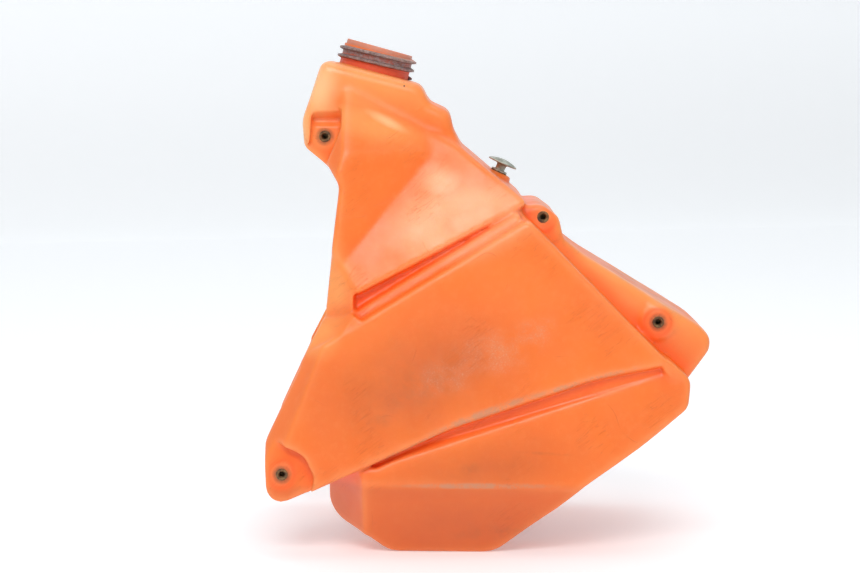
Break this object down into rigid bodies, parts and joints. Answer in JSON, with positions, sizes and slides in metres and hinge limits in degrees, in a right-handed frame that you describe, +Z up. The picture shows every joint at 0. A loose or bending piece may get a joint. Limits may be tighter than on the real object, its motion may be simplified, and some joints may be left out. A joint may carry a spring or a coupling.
{
  "type": "motorcycle fuel tank",
  "caption": "Off-road motorcycle saddle fuel tank: moulded plastic shell with two side tanks around a frame tunnel, threaded filler neck, seat stud, threaded inserts and a fuel tap.",
  "frame": {"origin": "the middle of the box around the whole tank, at its base: on the centre plane, level with the belly's flat", "axes": "+X to the rear of the motorcycle, +Y to its right, +Z up"},
  "size_m": [0.3661, 0.263, 0.4198],
  "materials": {
    "tank_plastic": "translucent orange moulded polyethylene, satin, scuffed",
    "brass": "machined, dull",
    "zinc_steel": "zinc plated",
    "black_rubber": "matt",
    "cast_alloy": "cast",
    "filter_nylon": "fine gauze",
    "lever_plastic": "moulded, satin"
  },
  "bodies": {
    "tank": {"tank_shell": "tank_plastic", "seat_stud": "zinc_steel", "insert_front_upper_left": "brass", "insert_front_upper_right": "brass", "insert_front_lower_left": "brass", "insert_front_lower_right": "brass", "insert_rear_upper_left": "brass", "insert_rear_upper_right": "brass", "insert_rear_lower_left": "brass", "insert_rear_lower_right": "brass", "seat_stud_insert": "brass", "frame_bolt_insert": "brass", "tunnel_pad_front": "black_rubber", "tunnel_pad_rear": "black_rubber", "tap_body": "cast_alloy", "tap_flange_seal": "black_rubber", "tap_strainer": "filter_nylon", "tap_main_standpipe": "brass", "tap_lever_seal": "black_rubber", "tap_spring_washer": "zinc_steel", "tap_retaining_plate": "zinc_steel", "tap_plate_screws": "zinc_steel", "tap_flange_washers": "zinc_steel", "tap_flange_screws": "zinc_steel", "tap_mount_inserts": "brass"},
    "lever": {"tap_lever": "lever_plastic"}
  },
  "joints": [
    {"name": "tap_lever_turn", "type": "hinge", "parent": "tank", "child": "lever", "pos_m": [0.034, -0.025, 0.058], "axis": [0, 1, 0], "range_deg": [-90, 90]}
  ]
}
